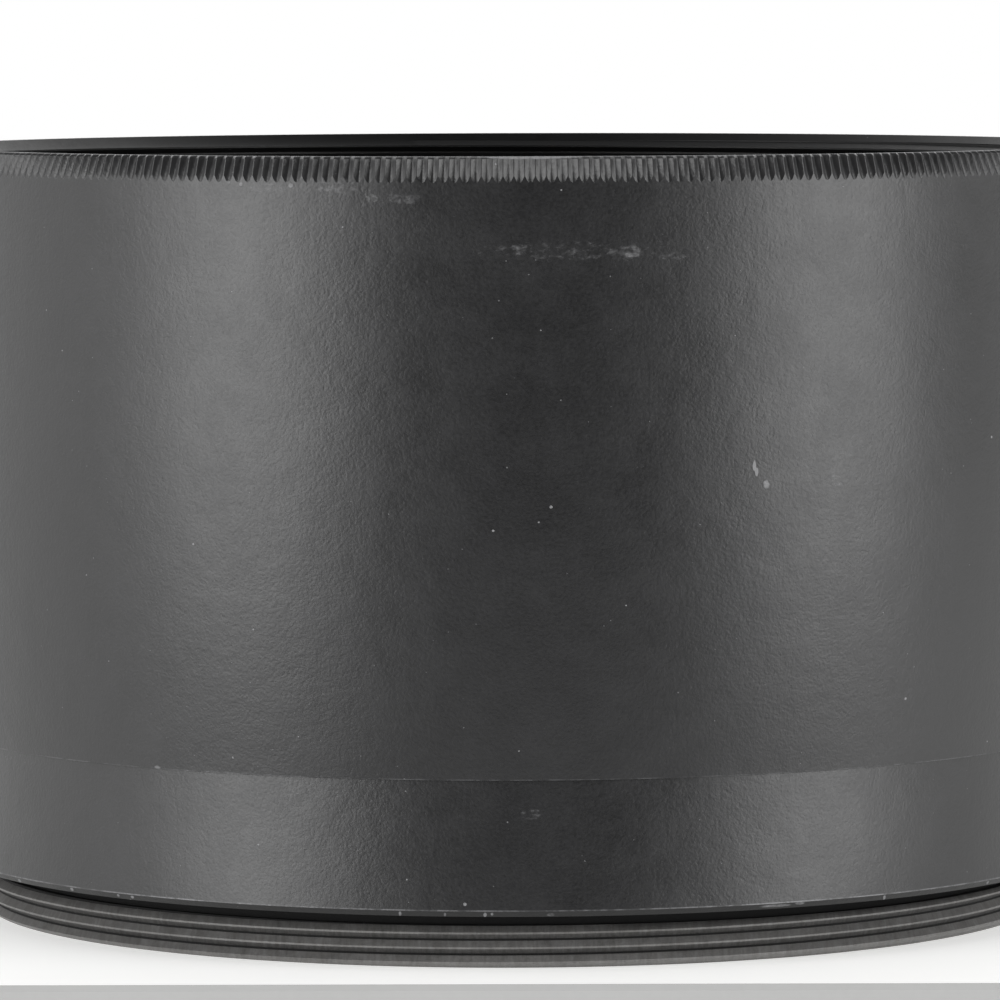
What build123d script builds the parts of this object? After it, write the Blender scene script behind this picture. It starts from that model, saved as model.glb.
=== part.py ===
from build123d import *
import os
from math import cos, pi, sin, sqrt

# Telephoto conversion lens: an afocal pair of cemented doublets in a black anodised barrel.
# It stands on the end of its male mount thread, front rim up, with the optical axis on +Z.

# Outside of the barrel
HEIGHT = 41.0
WALL_R = 32.25
RIM_R = 31.95
RIM_EDGE = 0.12
BEVEL_HEIGHT = 0.75
FLUTES = 376
FLUTE_DEPTH = 0.2
FLUTE_LAND = 0.02
TAPER_TOP_Z = 28.0
BREAK_Z = 9.75
BREAK_R = 30.9

# Threads: one fine pitch throughout, with 60 degree flanks
PITCH = 0.75
MALE_DEPTH = 0.46
FEMALE_DEPTH = 0.41
THREAD_CREST = 0.125
THREAD_ROOT = 0.14
CUTTER_REACH = 0.3

# Rear mount ring
BAND_R = 30.75
BAND_EDGE = 0.1
BAND_CHAMFER = 0.3
BAND_BOTTOM_Z = 3.13
SEAT_Z = 2.83
UNDERCUT_R = (28.2, 29.2)
UNDERCUT_Z = (2.14, 2.93)
MOUNT_CREST_R = 28.97
MOUNT_LEAD = 0.25
MOUNT_BORE_R = 27.4
MOUNT_THREAD_Z = -0.6
MOUNT_TURNS = 4
MOUNT_PHASE = 20
WEB_Z = (1.3, 2.8)
WEB_BORE_R = 23.2

# Screw joint between the barrel's spigot and the mount ring's socket
SPIGOT_CREST_R = 29.5
SPIGOT_BORE_R = 26.8
SPIGOT_END_Z = 4.4
SPIGOT_RELIEF_Z = 9.15
SPIGOT_THREAD_Z = 5.35
SPIGOT_TURNS = 5
SOCKET_R = 29.58
SOCKET_FLOOR_Z = 3.9
SEAL_GROOVE_Z = (4.75, 5.75)
SEAL_GROOVE_R = 28.6
SEAL_R = 0.46

# Front filter thread and the bores behind it
FILTER_CREST_R = 30.59
FILTER_Z = (37.6, 40.6)
FILTER_MOUTH_R = 31.3
FILTER_THREAD_Z = 37.45
FILTER_TURNS = 5
RELIEF_R = 31.1
RELIEF_Z = 37.1
CELL_BORE_R = 29.9
CELL_SEAT_Z = 22.0
MIDDLE_BORE_R = 28.6
BULKHEAD_Z = (11.4, 14.2)
BULKHEAD_BORE_R = 23.0

# Front doublet, focal length about 85: radii of its three surfaces and its two thicknesses
FRONT_R = 26.5
FRONT_VERTEX_Z = 36.6
FRONT_CURVES = (60.0, 98.0, 280.0)
FRONT_THICKNESS = (11.1, 2.4)

# Rear doublet, focal length about -64, at the air gap that makes the pair afocal
REAR_R = 19.5
REAR_CURVES = (86.0, 41.0, 67.5)
REAR_THICKNESS = (1.8, 3.3)
AIR_GAP = 12.0

# Cells and rings
FRONT_SEAT_R = 25.2
FRONT_SEAT_Z = 23.95
FRONT_THREAD_R = 27.5
FRONT_RING_Z = (31.3, 34.9)
FRONT_RING_R = (25.6, 26.7)
FRONT_RING_LIP = 1.0
CELL_TOP_Z = 35.5
CELL_WAIST_R = 28.9
CELL_WAIST_Z = (25.0, 31.6)
TRIM_TOP_Z = 37.5
TRIM_FLANGE_R = 30.5
TRIM_FACE_R = (27.0, 30.1)
TRIM_LIP = 0.3
REAR_SEAT_R = 18.4
REAR_SEAT_Z = 13.62
REAR_TOP_Z = 14.1
REAR_HUB_R = 22.95
REAR_TUBE_R = 22.5
REAR_FLANGE_R = 26.6
REAR_FLANGE_Z = (9.8, 11.2)
REAR_THREAD_R = 21.0
REAR_END_Z = 1.7
REAR_RING_Z = (1.9, 2.8)
REAR_RING_R = 18.3

# Baffle tube and light stops
STOP_THICKNESS = 0.4
FRONT_STOP_R = 23.6
REAR_STOP_R = 18.4
BAFFLE_R = (19.2, 24.4)
RIB_DEPTH = 1.1
BAFFLE_WALL = 1.2
BAFFLE_FLANGE = 1.0
RIBS = 8

# Small parts
SLIP = 0.03
CEMENT = 0.02
WASHER = 0.22
OVERCUT = 1.0
SLOT_LENGTH = 8.0
SLOT_WIDTH = 1.6
FRONT_SLOT_DEPTH = 0.9
REAR_SLOT_DEPTH = 0.45
SCREWS = 3
SCREW_CIRCLE_R = 24.8
SCREW_R = 0.8
SCREW_HEAD_R = 1.4
SCREW_HEAD = 0.9
SCREW_SLOT = (4.0, 0.4, 0.7)
SCREW_TIP_Z = 13.2
SCREW_TIP_GAP = 0.2
SCREW_HOLE_R = 0.9


def sag(curve, r):
    """How far a spherical surface falls back at distance r from its axis."""
    return curve - sqrt(curve**2 - r**2)


def turned(points):
    """A solid of revolution from a closed outline of (radius, height) points."""
    outline = Polyline(*[(r, 0, z) for r, z in points], close=True)
    return revolve(make_face(outline), Axis.Z, 360)


def tube(inner, outer, bottom, top):
    """A plain ring."""
    return turned([(inner, bottom), (outer, bottom), (outer, top), (inner, top)])


def dome(vertex_z, curve, way, radius):
    """One lens surface as an arc from the axis to the edge, rising (1) or falling (-1) outwards."""
    half, edge = (vertex_z + way * sag(curve, r) for r in (radius / 2, radius))
    return ThreePointArc((0, 0, vertex_z), (radius / 2, 0, half), (radius, 0, edge))


def lens(radius, upper, lower):
    """A glass element between two surfaces, each (vertex height, radius of curvature, way)."""
    top, bottom = dome(*upper, radius), dome(*lower, radius)
    outline = top + Line(top @ 1, bottom @ 1) + bottom + Line(bottom @ 0, top @ 0)
    return revolve(make_face(outline), Axis.Z, 360)


def threaded(body, crest_r, depth, bottom, turns, way, phase=0):
    """Cut a right-hand V thread, turn by turn, outwards in a bore (1) or inwards on a spigot (-1)."""
    root = crest_r + way * depth
    clear = crest_r - way * CUTTER_REACH
    wide = PITCH * (1 - THREAD_CREST) / 2
    narrow = PITCH * THREAD_ROOT / 2
    half = [(clear, wide), (crest_r, wide), (root, narrow)]
    points = half + [(r, -z) for r, z in reversed(half)]
    profile = make_face(Polyline(*[(r, 0, z) for r, z in points], close=True))
    groove = sweep(profile, path=Helix(PITCH, PITCH, crest_r), is_frenet=True)
    for turn in range(turns):
        body -= Pos(0, 0, bottom + turn * PITCH) * Rot(0, 0, phase) * groove
    return body


def spanner_slots(circle_r, face_z, depth):
    """Two slots for a pin spanner, across a ring's face."""
    slot = Box(SLOT_LENGTH, SLOT_WIDTH, 2 * depth)
    return [Pos(side * circle_r, 0, face_z) * slot for side in (1, -1)]


def flute_cone():
    """A flat-sided cone whose V flutes run straight down the rim's bevel and out on the wall."""
    slope = (WALL_R - RIM_R) / BEVEL_HEIGHT
    levels = (-OVERCUT, HEIGHT + OVERCUT)

    def star(z):
        crest = RIM_R + slope * (HEIGHT - z) + FLUTE_LAND
        valley = crest * (1 - (FLUTE_DEPTH + FLUTE_LAND) / WALL_R)
        points = []
        for i in range(2 * FLUTES):
            angle = i * pi / FLUTES
            r = valley if i % 2 else crest
            points.append(Vector(r * cos(angle), r * sin(angle), z))
        return points

    low, high = star(levels[0]), star(levels[1])
    sides = [
        Face(Wire.make_polygon([low[i - 1], low[i], high[i], high[i - 1]]))
        for i in range(2 * FLUTES)
    ]
    caps = [Face(Wire.make_polygon(ring)) for ring in (low, high)]
    return Solid(Shell(sides + caps))


def main_barrel():
    """The wall with its fluted rim, filter thread, bulkhead and threaded rear spigot."""
    middle = ((WALL_R * 3 + BREAK_R) / 4, 0, (TAPER_TOP_Z + BREAK_Z) / 2)
    wall = ThreePointArc((WALL_R, 0, TAPER_TOP_Z), middle, (BREAK_R, 0, BREAK_Z))
    core_r = SPIGOT_CREST_R - MALE_DEPTH
    points = [
        (BREAK_R, BREAK_Z),
        (core_r, BREAK_Z),
        (core_r, SPIGOT_RELIEF_Z),
        (SPIGOT_CREST_R, SPIGOT_RELIEF_Z),
        (SPIGOT_CREST_R, SEAL_GROOVE_Z[1]),
        (SEAL_GROOVE_R, SEAL_GROOVE_Z[1]),
        (SEAL_GROOVE_R, SEAL_GROOVE_Z[0]),
        (core_r, SEAL_GROOVE_Z[0]),
        (core_r, SPIGOT_END_Z),
        (SPIGOT_BORE_R, SPIGOT_END_Z),
        (SPIGOT_BORE_R, BULKHEAD_Z[0]),
        (BULKHEAD_BORE_R, BULKHEAD_Z[0]),
        (BULKHEAD_BORE_R, BULKHEAD_Z[1]),
        (MIDDLE_BORE_R, BULKHEAD_Z[1]),
        (MIDDLE_BORE_R, CELL_SEAT_Z),
        (CELL_BORE_R, CELL_SEAT_Z),
        (CELL_BORE_R, RELIEF_Z),
        (RELIEF_R, RELIEF_Z),
        (RELIEF_R, FILTER_Z[0]),
        (FILTER_CREST_R, FILTER_Z[0]),
        (FILTER_CREST_R, FILTER_Z[1]),
        (FILTER_MOUTH_R, HEIGHT),
        (RIM_R - RIM_EDGE, HEIGHT),
        (RIM_R, HEIGHT - RIM_EDGE),
        (WALL_R, HEIGHT - BEVEL_HEIGHT),
        (WALL_R, TAPER_TOP_Z),
    ]
    outline = wall + Polyline(*[(r, 0, z) for r, z in points])
    body = revolve(make_face(outline), Axis.Z, 360)
    body = threaded(body, FILTER_CREST_R, FEMALE_DEPTH, FILTER_THREAD_Z, FILTER_TURNS, 1)
    body = threaded(body, SPIGOT_CREST_R, MALE_DEPTH, SPIGOT_THREAD_Z, SPIGOT_TURNS, -1)
    body -= screw_places(SCREW_R + SLIP, BULKHEAD_Z[0] - OVERCUT, SCREW_TIP_Z + SCREW_TIP_GAP)
    return body & flute_cone()


def rear_mount_ring():
    """The lower band: a socket for the spigot above, a seat and the male mount thread below."""
    body = turned([
        (MOUNT_BORE_R, 0),
        (MOUNT_CREST_R - MOUNT_LEAD, 0),
        (MOUNT_CREST_R, MOUNT_LEAD),
        (MOUNT_CREST_R, UNDERCUT_Z[0]),
        (UNDERCUT_R[0], UNDERCUT_Z[0]),
        (UNDERCUT_R[0], UNDERCUT_Z[1]),
        (UNDERCUT_R[1], UNDERCUT_Z[1]),
        (UNDERCUT_R[1], SEAT_Z),
        (BAND_R - BAND_CHAMFER, SEAT_Z),
        (BAND_R, BAND_BOTTOM_Z),
        (BAND_R, BREAK_Z - BAND_EDGE),
        (BAND_R - BAND_EDGE, BREAK_Z),
        (SOCKET_R + BAND_EDGE, BREAK_Z),
        (SOCKET_R, BREAK_Z - BAND_EDGE),
        (SOCKET_R, SOCKET_FLOOR_Z),
        (MOUNT_BORE_R, SOCKET_FLOOR_Z),
        (MOUNT_BORE_R, WEB_Z[1]),
        (WEB_BORE_R, WEB_Z[1]),
        (WEB_BORE_R, WEB_Z[0]),
        (MOUNT_BORE_R, WEB_Z[0]),
    ])
    return threaded(body, MOUNT_CREST_R, MALE_DEPTH, MOUNT_THREAD_Z, MOUNT_TURNS, -1, MOUNT_PHASE)


def mount_seal_ring():
    """The rubber ring in the spigot's groove."""
    centre_r = SEAL_GROOVE_R + SLIP + SEAL_R
    middle = sum(SEAL_GROOVE_Z) / 2
    return Pos(0, 0, middle) * Torus(centre_r, SEAL_R)


def front_cell():
    """The tube that holds the front doublet, turned thinner at its waist."""
    outer = CELL_BORE_R - SLIP
    return turned([
        (FRONT_SEAT_R, CELL_SEAT_Z),
        (outer, CELL_SEAT_Z),
        (outer, CELL_WAIST_Z[0]),
        (CELL_WAIST_R, CELL_WAIST_Z[0]),
        (CELL_WAIST_R, CELL_WAIST_Z[1]),
        (outer, CELL_WAIST_Z[1]),
        (outer, CELL_TOP_Z),
        (FRONT_THREAD_R, CELL_TOP_Z),
        (FRONT_THREAD_R, FRONT_RING_Z[0]),
        (FRONT_R + SLIP, FRONT_RING_Z[0]),
        (FRONT_R + SLIP, FRONT_SEAT_Z),
        (FRONT_SEAT_R, FRONT_SEAT_Z),
    ])


def front_doublet():
    """The positive crown and the weak negative flint that is cemented behind it."""
    first, second, third = FRONT_CURVES
    joint_z = FRONT_VERTEX_Z - FRONT_THICKNESS[0]
    back_z = joint_z - FRONT_THICKNESS[1]
    crown = lens(FRONT_R, (FRONT_VERTEX_Z, first, -1), (joint_z, second, 1))
    flint = lens(FRONT_R, (joint_z - CEMENT, second, 1), (back_z, third, 1))
    return crown, flint


def rear_doublet():
    """The negative biconcave glass and the meniscus that is cemented behind it."""
    first, second, third = REAR_CURVES
    front_z = FRONT_VERTEX_Z - sum(FRONT_THICKNESS) - AIR_GAP
    joint_z = front_z - REAR_THICKNESS[0]
    back_z = joint_z - REAR_THICKNESS[1]
    biconcave = lens(REAR_R, (front_z, first, 1), (joint_z, second, -1))
    meniscus = lens(REAR_R, (joint_z - CEMENT, second, -1), (back_z, third, -1))
    return biconcave, meniscus


def front_retaining_ring():
    """The threaded ring over the doublet, with two spanner slots in its front face."""
    outer = FRONT_THREAD_R - SLIP
    inner, mouth = FRONT_RING_R
    bottom, top = FRONT_RING_Z
    ring = turned([
        (inner, bottom),
        (outer, bottom),
        (outer, top),
        (mouth, top),
        (inner, bottom + FRONT_RING_LIP),
    ])
    return ring - spanner_slots(outer, top, FRONT_SLOT_DEPTH)


def front_trim_ring():
    """The sloping black ring in front of the cell, which clamps the cell on its seat."""
    outer = CELL_BORE_R - SLIP
    ring = turned([
        (TRIM_FACE_R[0], CELL_TOP_Z),
        (outer, CELL_TOP_Z),
        (outer, RELIEF_Z),
        (TRIM_FLANGE_R, RELIEF_Z),
        (TRIM_FLANGE_R, TRIM_TOP_Z),
        (TRIM_FACE_R[1], TRIM_TOP_Z),
        (TRIM_FACE_R[0], CELL_TOP_Z + TRIM_LIP),
    ])
    return ring - spanner_slots(TRIM_FLANGE_R, TRIM_TOP_Z, FRONT_SLOT_DEPTH)


def baffle_tube():
    """The tapered, flanged tube between the groups, with light-trapping ribs along its bore."""
    outer = MIDDLE_BORE_R - SLIP
    bottom = BULKHEAD_Z[1] + STOP_THICKNESS
    top = CELL_SEAT_Z - STOP_THICKNESS
    low_r, high_r = BAFFLE_R
    skin = RIB_DEPTH + BAFFLE_WALL
    outside = [
        (outer, top),
        (outer, top - BAFFLE_FLANGE),
        (high_r + skin, top - BAFFLE_FLANGE),
        (low_r + skin, bottom + BAFFLE_FLANGE),
        (outer, bottom + BAFFLE_FLANGE),
        (outer, bottom),
    ]
    inside = []
    for i in range(RIBS):
        r = low_r + (high_r - low_r) * i / RIBS
        z = bottom + (top - bottom) * i / RIBS
        inside += [(r, z), (r + RIB_DEPTH, z + (top - bottom) / RIBS / 2)]
    return turned(outside + inside + [(high_r, top)])


def rear_cell():
    """The flanged tube that holds the rear doublet."""
    bore_r = REAR_R + SLIP
    low, high = REAR_FLANGE_Z
    body = turned([
        (REAR_SEAT_R, REAR_TOP_Z),
        (REAR_HUB_R, REAR_TOP_Z),
        (REAR_HUB_R, high),
        (REAR_FLANGE_R, high),
        (REAR_FLANGE_R, low),
        (REAR_TUBE_R, low),
        (REAR_TUBE_R, REAR_END_Z),
        (REAR_THREAD_R, REAR_END_Z),
        (REAR_THREAD_R, REAR_RING_Z[1]),
        (bore_r, REAR_RING_Z[1]),
        (bore_r, REAR_SEAT_Z),
        (REAR_SEAT_R, REAR_SEAT_Z),
    ])
    return body - screw_places(SCREW_HOLE_R, low - OVERCUT, high + OVERCUT)


def rear_retaining_ring():
    """The threaded ring under the rear doublet, with two spanner slots in its rear face."""
    ring = tube(REAR_RING_R, REAR_THREAD_R - SLIP, *REAR_RING_Z)
    return ring - spanner_slots(REAR_THREAD_R, REAR_RING_Z[0], REAR_SLOT_DEPTH)


def rear_cell_shim():
    """The thin ring under the bulkhead that sets the spacing of the two groups."""
    shim = tube(REAR_HUB_R + SLIP, REAR_FLANGE_R, REAR_FLANGE_Z[1], BULKHEAD_Z[0])
    return shim - screw_places(SCREW_HOLE_R, REAR_FLANGE_Z[1] - OVERCUT, BULKHEAD_Z[0] + OVERCUT)


def screw_places(radius, bottom, top):
    """One upright cylinder at each screw of the rear cell."""
    pin = Pos(SCREW_CIRCLE_R, 0, (bottom + top) / 2) * Cylinder(radius, top - bottom)
    return [Rot(0, 0, 360 / SCREWS * i) * pin for i in range(SCREWS)]


def rear_cell_screws():
    """Three slotted pan-head screws, up through the flange and the shim into the bulkhead."""
    under_head = REAR_FLANGE_Z[0]
    place = Pos(SCREW_CIRCLE_R, 0, under_head - SCREW_HEAD / 2)
    shank = screw_places(SCREW_R, under_head - SCREW_HEAD / 2, SCREW_TIP_Z)
    head = place * Cylinder(SCREW_HEAD_R, SCREW_HEAD)
    slot = Pos(0, 0, -SCREW_HEAD / 2) * place * Box(*SCREW_SLOT)
    screws = []
    for i in range(SCREWS):
        turn = Rot(0, 0, 360 / SCREWS * i)
        screws.append((turn * (head - slot) + shank[i]).solid())
    return Compound(screws)


def soft_rings():
    """The washers and nylon rings that keep the glass off the metal, by node name."""
    front_edge_z = FRONT_VERTEX_Z - sag(FRONT_CURVES[0], FRONT_RING_R[0])
    rear_edge_z = REAR_RING_Z[1] + WASHER
    return {
        "front_seat_washer": tube(FRONT_SEAT_R, FRONT_R, FRONT_SEAT_Z, FRONT_SEAT_Z + WASHER),
        "front_pressure_ring": tube(FRONT_RING_R[0], FRONT_R, front_edge_z, FRONT_RING_Z[0]),
        "rear_seat_washer": tube(REAR_SEAT_R, REAR_R, REAR_SEAT_Z - WASHER, REAR_SEAT_Z),
        "rear_pressure_ring": tube(REAR_SEAT_R, REAR_R, REAR_RING_Z[1], rear_edge_z),
    }


def light_stops():
    """The thin black stops at the two ends of the baffle tube, by node name."""
    outer = MIDDLE_BORE_R - SLIP
    top, bottom = CELL_SEAT_Z, BULKHEAD_Z[1]
    return {
        "front_light_stop": tube(FRONT_STOP_R, outer, top - STOP_THICKNESS, top),
        "rear_light_stop": tube(REAR_STOP_R, outer, bottom, bottom + STOP_THICKNESS),
    }


def all_parts():
    """Every node's solid by its name."""
    front_crown, front_flint = front_doublet()
    rear_biconcave, rear_meniscus = rear_doublet()
    return {
        "main_barrel": main_barrel(),
        "rear_mount_ring": rear_mount_ring(),
        "mount_seal_ring": mount_seal_ring(),
        "front_trim_ring": front_trim_ring(),
        "front_cell": front_cell(),
        "front_retaining_ring": front_retaining_ring(),
        "front_crown_element": front_crown,
        "front_flint_element": front_flint,
        "baffle_tube": baffle_tube(),
        "rear_cell": rear_cell(),
        "rear_cell_shim": rear_cell_shim(),
        "rear_cell_screws": rear_cell_screws(),
        "rear_biconcave_element": rear_biconcave,
        "rear_meniscus_element": rear_meniscus,
        "rear_retaining_ring": rear_retaining_ring(),
        **soft_rings(),
        **light_stops(),
    }


os.makedirs("parts", exist_ok=True)
for node, shape in all_parts().items():
    export_step(shape, f"parts/{node}.step")
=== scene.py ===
import bmesh
import bpy
import math
from mathutils import Matrix, Vector


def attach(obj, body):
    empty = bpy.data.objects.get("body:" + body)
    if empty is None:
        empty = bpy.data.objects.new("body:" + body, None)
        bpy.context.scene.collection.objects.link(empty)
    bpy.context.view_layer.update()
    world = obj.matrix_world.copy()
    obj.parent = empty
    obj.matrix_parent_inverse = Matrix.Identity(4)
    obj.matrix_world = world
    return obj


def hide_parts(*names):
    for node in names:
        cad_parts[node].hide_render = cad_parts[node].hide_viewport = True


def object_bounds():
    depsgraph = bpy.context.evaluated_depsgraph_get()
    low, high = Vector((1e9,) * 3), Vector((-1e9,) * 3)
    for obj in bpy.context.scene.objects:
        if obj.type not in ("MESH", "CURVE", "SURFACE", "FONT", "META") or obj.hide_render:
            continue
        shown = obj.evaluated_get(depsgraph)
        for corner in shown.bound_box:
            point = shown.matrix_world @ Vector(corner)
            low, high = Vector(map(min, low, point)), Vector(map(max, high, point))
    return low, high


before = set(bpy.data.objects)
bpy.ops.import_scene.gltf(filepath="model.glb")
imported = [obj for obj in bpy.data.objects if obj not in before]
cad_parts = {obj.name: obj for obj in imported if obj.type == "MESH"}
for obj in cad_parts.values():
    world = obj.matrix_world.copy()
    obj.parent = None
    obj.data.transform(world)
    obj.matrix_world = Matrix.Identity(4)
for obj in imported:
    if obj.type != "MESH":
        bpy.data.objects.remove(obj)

bl_info = {
    "name": "Telephoto conversion lens",
    "version": (1, 0, 0),
    "blender": (4, 5, 0),
    "location": "View3D > Sidebar > Lens",
    "description": "Models and finishes a front-mounted conversion lens around its packed frame",
    "category": "Object",
}

CAD_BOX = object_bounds()
MM = 0.001

# The lens's axis, columns around a turned piece, and how close two points are merged, in metres
AXIS = {"cent": (0, 0, 0), "axis": (0, 0, 1)}
AROUND = 376
MERGE = 3e-6

# Angles at which an edge is sharp, in degrees, on most pieces and on the barrel with its fine flutes
SHARP = 32
BARREL_SHARP = 18

# How near the plane that cuts a thread points are merged, in metres
CUT_NEAR = 1e-7

# Open loops, in millimetres: how level they lie, how near a circle's radius and how clear of a thread's
# radii they are looked for, how far one is lifted while a band is closed, and how far a band may reach
# inwards
LEVEL = 0.004
CIRCLE_NEAR = 0.02
THREAD_CLEAR = 0.05
BRIDGE_LIFT = 2.0
BAND_REACH = 0.1

# Where a look ends, in millimetres: how near a face lies to its height or radius, to the top of the mount
# thread, to its crest and to its root, and how far under the relief groove the mouth's look starts. Then
# the normal's height at which a flank faces down
FACE_NEAR = 0.01
TOP_NEAR = 0.005
CREST_NEAR = 0.03
ROOT_NEAR = 0.1
MOUTH_DEPTH = 1
FACING_DOWN = -0.3

# Rounded corners of a ring: radius in millimetres, on most rings, on the rear one and on the stops, then
# steps, the most of an arm that one takes, and the cosine at which a corner counts as straight
CORNER_R = 0.06
REAR_CORNER = 0.08
STOP_CORNER = 0.05
CORNER_STEPS = 3
CORNER_SHARE = 0.4
STRAIGHT = -0.97

# One screw thread throughout: pitch, depth of the outer and inner form, and its two flats, in millimetres
PITCH = 0.75
MALE_DEPTH = 0.46
FEMALE_DEPTH = 0.41
CREST_FLAT = 0.094
ROOT_FLAT = 0.105

# The fluted rim, in millimetres: its broken edge, the bevel's inset, how far down it ends on a crest and in
# a valley, how proud a crest stands, where the fluted band ends, and how near a row a vertex lies on it
RIM_EDGE = 0.12
RIM_INSET = 0.3
CREST_RUN = 0.95
VALLEY_RUN = 1.32
FLUTE_LAND = 0.02
FLUTE_FOOT = 1.5
ROW_NEAR = 0.001

# One flute: rows in each half of its run, then shares of its width: its columns, the part that is cut and
# the floor's roundness. Last, the power that rounds its tip, and the most flutes that are repeated at a time
FLUTE_ROWS = 6
FLUTE_COLUMNS = (0.0, 0.03, 0.25, 0.44, 0.5, 0.56, 0.75, 0.97, 1.0)
FLUTE_WIDTH = 0.94
FLUTE_FLOOR = 0.08
TIP_ROUND = 0.4
FLUTE_BATCH = 24

# Heights and radii of the barrel, in millimetres from the standing face and from the axis. A pair is a
# radius and a height, but FILTER_Z and SPIGOT_Z are a thread's two ends, and SCREW_HOLE is a radius and a
# depth. A START is the height of a root of its thread, at angle 0 or at the thread's PHASE. SCREW_OPENING
# and SCREW_REACH say how many hole radii are opened round a hole and searched for open edges
TAPER_TOP = 28.0
TAPER_ROWS = 14
BREAK_Z = 9.75
BREAK_R = 30.9
MOUTH_R = 31.3
FILTER_R = 30.59
FILTER_Z = (37.6, 40.6)
FILTER_START = 37.45
RELIEF = (31.1, 37.1)
CELL_BORE = (29.9, 22.0)
MIDDLE_BORE = (28.6, 14.2)
BULKHEAD = (23.0, 11.4)
SCREW_CIRCLE = 24.8
SCREW_HOLE = (0.83, 2.0)
SCREWS = 3
SCREW_COLUMNS = 24
SCREW_OPENING = 1.6
SCREW_REACH = 4
SPIGOT_R = 29.5
SPIGOT_CORE = 28.98
SPIGOT_Z = (5.75, 9.15)
SPIGOT_START = 5.35
SEAL_GROOVE = (28.6, 4.75)
SPIGOT_BORE = (26.8, 4.4)

# Mount ring, in the same way. WEB is a bore and two heights
BAND_R = 30.75
BAND_EDGE = 0.1
SEAM_EDGE = 0.015
SEAT_Z = 2.83
SEAT_CHAMFER = 0.3
UNDERCUT = ((28.2, 2.14), (29.2, 2.93))
MOUNT_R = 28.97
MOUNT_START = -0.6
MOUNT_PHASE = math.radians(20)
MOUNT_LEAD = 0.25
MOUNT_BORE = 27.4
WEB = (23.2, 1.3, 2.8)
SOCKET = (29.58, 3.9)

# Sections of the small rings as (radius, height) in millimetres, the floors of their spanner slots, and the
# slots' half width and columns
TRIM_RING = (
    (27.0, 35.5), (29.87, 35.5), (29.87, 37.1), (30.5, 37.1), (30.5, 37.5), (30.1, 37.5), (27.0, 35.8),
)
FRONT_RING = ((25.6, 31.3), (27.47, 31.3), (27.47, 34.9), (26.7, 34.9), (25.6, 32.3))
REAR_RING = ((18.3, 1.9), (20.97, 1.9), (20.97, 2.8), (18.3, 2.8))
TRIM_SLOT = 36.6
FRONT_SLOT = 34.0
REAR_SLOT = 2.35
SLOT_HALF = math.radians(1.7)
SLOT_COLUMNS = 4

# Glasses in millimetres: radii, the top, thicknesses and air gap along the axis, and each surface's curve
# radius, then rows from the middle to the edge, the chamfer, the cement, and the coating's refractive index
FRONT_GLASS_R = 26.5
REAR_GLASS_R = 19.5
FRONT_GLASS_TOP = 36.6
CROWN_THICK = 11.1
FLINT_THICK = 2.4
AIR_GAP = 12.0
BICONCAVE_THICK = 1.8
MENISCUS_THICK = 3.3
FRONT_CURVES = (60.0, 98.0, 280.0)
REAR_CURVES = (86.0, 41.0, 67.5)
GLASS_ROWS = 14
GLASS_CHAMFER = 0.15
CEMENT = 0.02
FILM_INDEX = 1.38

# Baffle tube and stops in millimetres: the tube's ends, its bore at each end and how it opens on the way
# up, its ribs, its waist and flanges, then each stop's bore and base
BAFFLE_Z = (14.6, 21.6)
BAFFLE_BORE = (19.2, 24.4)
BAFFLE_RISE = (5.2, 7.0)
BAFFLE_RIBS = 8
BAFFLE_RIB_DEPTH = 1.1
BAFFLE_WAIST = (21.5, 26.7)
BAFFLE_FLANGE = (28.57, 1)
STOPS = {"front_stop": (23.6, 21.6), "rear_stop": (18.4, 14.2)}
STOP_THICK = 0.4

# The floor sheet in millimetres: half its width, its ends behind and in front, its rounded edge and front
# lip. Then the lip's share of the floor's colour, the floor's own glow, how far a normal may point the
# wrong way, and how far forwards it points on the lip
FLOOR_SIDE = 1500
FLOOR_BACK = 1500
FLOOR_FRONT = 34.5
FLOOR_ROUND = 0.3
FLOOR_LIP = 1.5
FLOOR_EDGE_SHARE = 0.5
FLOOR_GLOW = 0.39
FLOOR_TILT = 0.1
LIP_FORWARD = 0.5

# The two soft boxes: degrees round from the camera, then height, distance, panel and the height faced in
# metres, and the right one's share of the left one's power
LEFT_TURN = -51
RIGHT_TURN = 60
LIGHT_HEIGHT = 0.12
LIGHT_DISTANCE = 0.55
LIGHT_PANEL = (0.34, 0.5)
LIGHT_AIM = 0.025
RIGHT_SHARE = 0.92

# What gloss sees of the room: the white wall behind, the white below, and the level elsewhere. Then the
# plain level that lights everything else
ROOM_BEHIND = 1.35
ROOM_BELOW = 0.6
ROOM_LEVEL = 0.08
PLAIN_LEVEL = 0.55

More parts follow.
